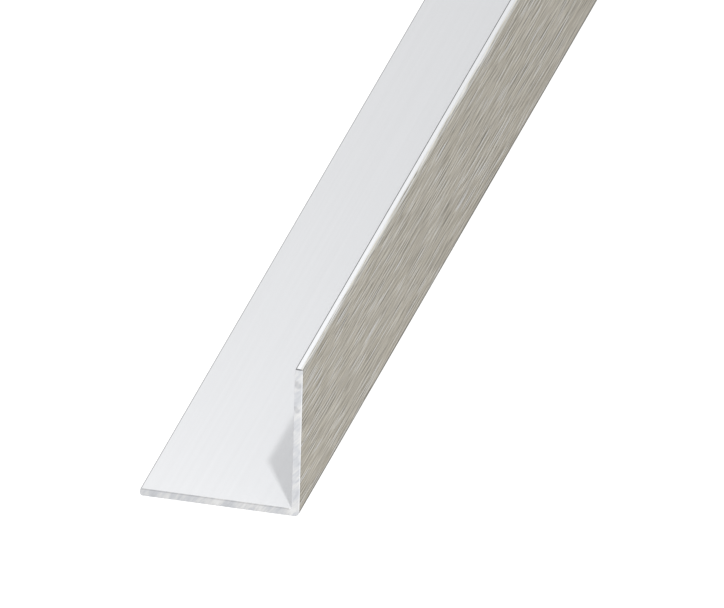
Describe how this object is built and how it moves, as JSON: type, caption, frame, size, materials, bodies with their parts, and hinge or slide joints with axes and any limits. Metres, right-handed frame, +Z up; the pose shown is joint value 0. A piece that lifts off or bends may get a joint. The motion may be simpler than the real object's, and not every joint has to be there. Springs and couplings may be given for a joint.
{
  "type": "metal angle section",
  "caption": "Straight equal angle of thin aluminium with rounded heel and toes and deburred sawn ends, for covering corners, edging panels and light framing.",
  "frame": {"origin": "middle of the length on the ground, centred between the flat leg's toe and the upright leg's outer face", "axes": "+Y along the length, +X towards the upright leg's outer face, +Z up"},
  "size_m": [0.02, 1, 0.02],
  "materials": {
    "angle_section": "outer faces brushed along the length and anodised in a warm stainless tone, inner faces plain pale satin, ends sawn bare"
  },
  "bodies": {
    "root": {"angle_section": "angle_section"}
  },
  "joints": []
}
